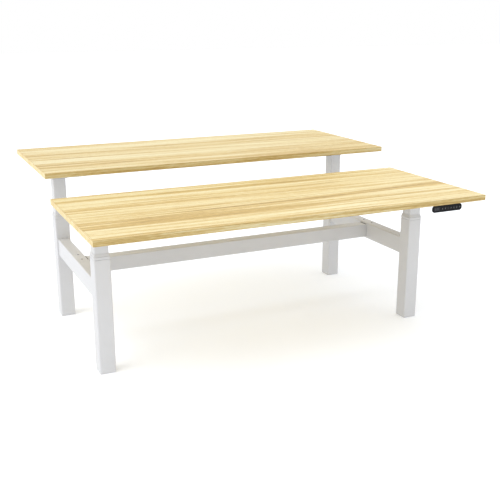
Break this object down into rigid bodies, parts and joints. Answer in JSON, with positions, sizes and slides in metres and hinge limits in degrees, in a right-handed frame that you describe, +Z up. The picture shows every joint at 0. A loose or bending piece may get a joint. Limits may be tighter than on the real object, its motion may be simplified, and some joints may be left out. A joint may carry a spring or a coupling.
{
  "type": "height adjustable standing desk",
  "caption": "Two-person electric sit-stand desk: wooden desktops back to back on lifting columns, joined by side rails and a long central beam, with a push-button handset under each front edge.",
  "frame": {"origin": "centre of the footprint on the floor, 28 mm behind the middle of the central beam", "axes": "+X along the desktops, +Y from the front desktop to the back one, +Z up"},
  "size_m": [1.8, 1.586, 0.792],
  "materials": {
    "pale_wood": "pale oiled timber, long straight grain along the desktop",
    "white_powder_coat": "fine satin powder coat, very light warm grey",
    "dark_bracket_steel": "black painted steel",
    "zinc_steel": "zinc-plated steel",
    "nut_bronze": "machined bronze",
    "glide_plastic": "natural acetal",
    "collar_plastic": "light moulded plastic",
    "zinc_screw_steel": "dark zinc-plated steel",
    "foot_plastic": "black moulded plastic",
    "cast_aluminium": "as-cast aluminium",
    "motor_black": "black enamel",
    "case_black": "fine moulded texture",
    "handset_black": "black moulded plastic, half gloss",
    "display_dark": "smoked clear window",
    "button_black": "black keys with pale printed symbols",
    "spindle_steel": "rolled lifting screw"
  },
  "bodies": {
    "root": {"outer_column_front_left": "white_powder_coat", "outer_column_front_right": "white_powder_coat", "outer_column_back_left": "white_powder_coat", "outer_column_back_right": "white_powder_coat", "side_rail_left": "white_powder_coat", "side_rail_right": "white_powder_coat", "centre_beam": "white_powder_coat", "rail_brackets": "white_powder_coat", "beam_brackets": "dark_bracket_steel", "nut_tubes": "zinc_steel", "spindle_nuts": "nut_bronze", "upper_glides": "glide_plastic", "column_collars": "collar_plastic", "underframe_screws": "zinc_screw_steel"},
    "foot_front_left": {"levelling_foot_front_left": "foot_plastic"},
    "foot_front_right": {"levelling_foot_front_right": "foot_plastic"},
    "foot_back_left": {"levelling_foot_back_left": "foot_plastic"},
    "foot_back_right": {"levelling_foot_back_right": "foot_plastic"},
    "front_lift": {"front_desktop": "pale_wood", "front_lower_glides": "glide_plastic", "front_side_arms": "white_powder_coat", "front_cross_rails": "white_powder_coat", "front_gear_housings": "cast_aluminium", "front_motors": "motor_black", "front_screws": "zinc_screw_steel", "front_control_box": "case_black", "front_handset_case": "handset_black", "front_display_window": "display_dark", "front_inner_column_left": "white_powder_coat", "front_inner_column_right": "white_powder_coat"},
    "front_spindle_left_body": {"front_spindle_left": "spindle_steel"},
    "front_spindle_right_body": {"front_spindle_right": "spindle_steel"},
    "front_button_1_body": {"front_button_1": "button_black"},
    "front_button_2_body": {"front_button_2": "button_black"},
    "front_button_3_body": {"front_button_3": "button_black"},
    "front_button_4_body": {"front_button_4": "button_black"},
    "front_button_5_body": {"front_button_5": "button_black"},
    "front_button_6_body": {"front_button_6": "button_black"},
    "front_button_7_body": {"front_button_7": "button_black"},
    "back_lift": {"back_desktop": "pale_wood", "back_lower_glides": "glide_plastic", "back_side_arms": "white_powder_coat", "back_cross_rails": "white_powder_coat", "back_gear_housings": "cast_aluminium", "back_motors": "motor_black", "back_screws": "zinc_screw_steel", "back_control_box": "case_black", "back_handset_case": "handset_black", "back_display_window": "display_dark", "back_inner_column_left": "white_powder_coat", "back_inner_column_right": "white_powder_coat"},
    "back_spindle_left_body": {"back_spindle_left": "spindle_steel"},
    "back_spindle_right_body": {"back_spindle_right": "spindle_steel"},
    "back_button_1_body": {"back_button_1": "button_black"},
    "back_button_2_body": {"back_button_2": "button_black"},
    "back_button_3_body": {"back_button_3": "button_black"},
    "back_button_4_body": {"back_button_4": "button_black"},
    "back_button_5_body": {"back_button_5": "button_black"},
    "back_button_6_body": {"back_button_6": "button_black"},
    "back_button_7_body": {"back_button_7": "button_black"}
  },
  "joints": [
    {"name": "foot_front_left_screw", "type": "slide", "parent": "root", "child": "foot_front_left", "axis": [0, 0, -1], "range_m": [0, 0.012]},
    {"name": "foot_front_right_screw", "type": "slide", "parent": "root", "child": "foot_front_right", "axis": [0, 0, -1], "range_m": [0, 0.012]},
    {"name": "foot_back_left_screw", "type": "slide", "parent": "root", "child": "foot_back_left", "axis": [0, 0, -1], "range_m": [0, 0.012]},
    {"name": "foot_back_right_screw", "type": "slide", "parent": "root", "child": "foot_back_right", "axis": [0, 0, -1], "range_m": [0, 0.012]},
    {"name": "front_lift_slide", "type": "slide", "parent": "root", "child": "front_lift", "axis": [0, 0, 1], "range_m": [0, 0.39]},
    {"name": "front_spindle_left_turn", "type": "hinge", "parent": "front_lift", "child": "front_spindle_left_body", "pos_m": [-0.782, -0.408, 0.3], "axis": [0, 0, 1], "range_deg": [-5, 8780]},
    {"name": "front_spindle_right_turn", "type": "hinge", "parent": "front_lift", "child": "front_spindle_right_body", "pos_m": [0.782, -0.408, 0.3], "axis": [0, 0, 1], "range_deg": [-5, 8780]},
    {"name": "front_button_1_press", "type": "slide", "parent": "front_lift", "child": "front_button_1_body", "axis": [0, 1, 0], "range_m": [0, 0.0008], "stiffness_N_per_m": 800},
    {"name": "front_button_2_press", "type": "slide", "parent": "front_lift", "child": "front_button_2_body", "axis": [0, 1, 0], "range_m": [0, 0.0008], "stiffness_N_per_m": 800},
    {"name": "front_button_3_press", "type": "slide", "parent": "front_lift", "child": "front_button_3_body", "axis": [0, 1, 0], "range_m": [0, 0.0008], "stiffness_N_per_m": 800},
    {"name": "front_button_4_press", "type": "slide", "parent": "front_lift", "child": "front_button_4_body", "axis": [0, 1, 0], "range_m": [0, 0.0008], "stiffness_N_per_m": 800},
    {"name": "front_button_5_press", "type": "slide", "parent": "front_lift", "child": "front_button_5_body", "axis": [0, 1, 0], "range_m": [0, 0.0008], "stiffness_N_per_m": 800},
    {"name": "front_button_6_press", "type": "slide", "parent": "front_lift", "child": "front_button_6_body", "axis": [0, 1, 0], "range_m": [0, 0.0008], "stiffness_N_per_m": 800},
    {"name": "front_button_7_press", "type": "slide", "parent": "front_lift", "child": "front_button_7_body", "axis": [0, 1, 0], "range_m": [0, 0.0008], "stiffness_N_per_m": 800},
    {"name": "back_lift_slide", "type": "slide", "parent": "root", "child": "back_lift", "axis": [0, 0, 1], "range_m": [-0.098, 0.292]},
    {"name": "back_spindle_left_turn", "type": "hinge", "parent": "back_lift", "child": "back_spindle_left_body", "pos_m": [-0.782, 0.352, 0.3], "axis": [0, 0, 1], "range_deg": [-2210, 6575]},
    {"name": "back_spindle_right_turn", "type": "hinge", "parent": "back_lift", "child": "back_spindle_right_body", "pos_m": [0.782, 0.352, 0.3], "axis": [0, 0, 1], "range_deg": [-2210, 6575]},
    {"name": "back_button_1_press", "type": "slide", "parent": "back_lift", "child": "back_button_1_body", "axis": [0, -1, 0], "range_m": [0, 0.0008], "stiffness_N_per_m": 800},
    {"name": "back_button_2_press", "type": "slide", "parent": "back_lift", "child": "back_button_2_body", "axis": [0, -1, 0], "range_m": [0, 0.0008], "stiffness_N_per_m": 800},
    {"name": "back_button_3_press", "type": "slide", "parent": "back_lift", "child": "back_button_3_body", "axis": [0, -1, 0], "range_m": [0, 0.0008], "stiffness_N_per_m": 800},
    {"name": "back_button_4_press", "type": "slide", "parent": "back_lift", "child": "back_button_4_body", "axis": [0, -1, 0], "range_m": [0, 0.0008], "stiffness_N_per_m": 800},
    {"name": "back_button_5_press", "type": "slide", "parent": "back_lift", "child": "back_button_5_body", "axis": [0, -1, 0], "range_m": [0, 0.0008], "stiffness_N_per_m": 800},
    {"name": "back_button_6_press", "type": "slide", "parent": "back_lift", "child": "back_button_6_body", "axis": [0, -1, 0], "range_m": [0, 0.0008], "stiffness_N_per_m": 800},
    {"name": "back_button_7_press", "type": "slide", "parent": "back_lift", "child": "back_button_7_body", "axis": [0, -1, 0], "range_m": [0, 0.0008], "stiffness_N_per_m": 800}
  ],
  "couplings": [
    {"joint": "front_spindle_left_turn", "follows": "front_lift_slide", "rad_per_m": 392.7},
    {"joint": "front_spindle_right_turn", "follows": "front_lift_slide", "rad_per_m": 392.7},
    {"joint": "back_spindle_left_turn", "follows": "back_lift_slide", "rad_per_m": 392.7},
    {"joint": "back_spindle_right_turn", "follows": "back_lift_slide", "rad_per_m": 392.7}
  ]
}
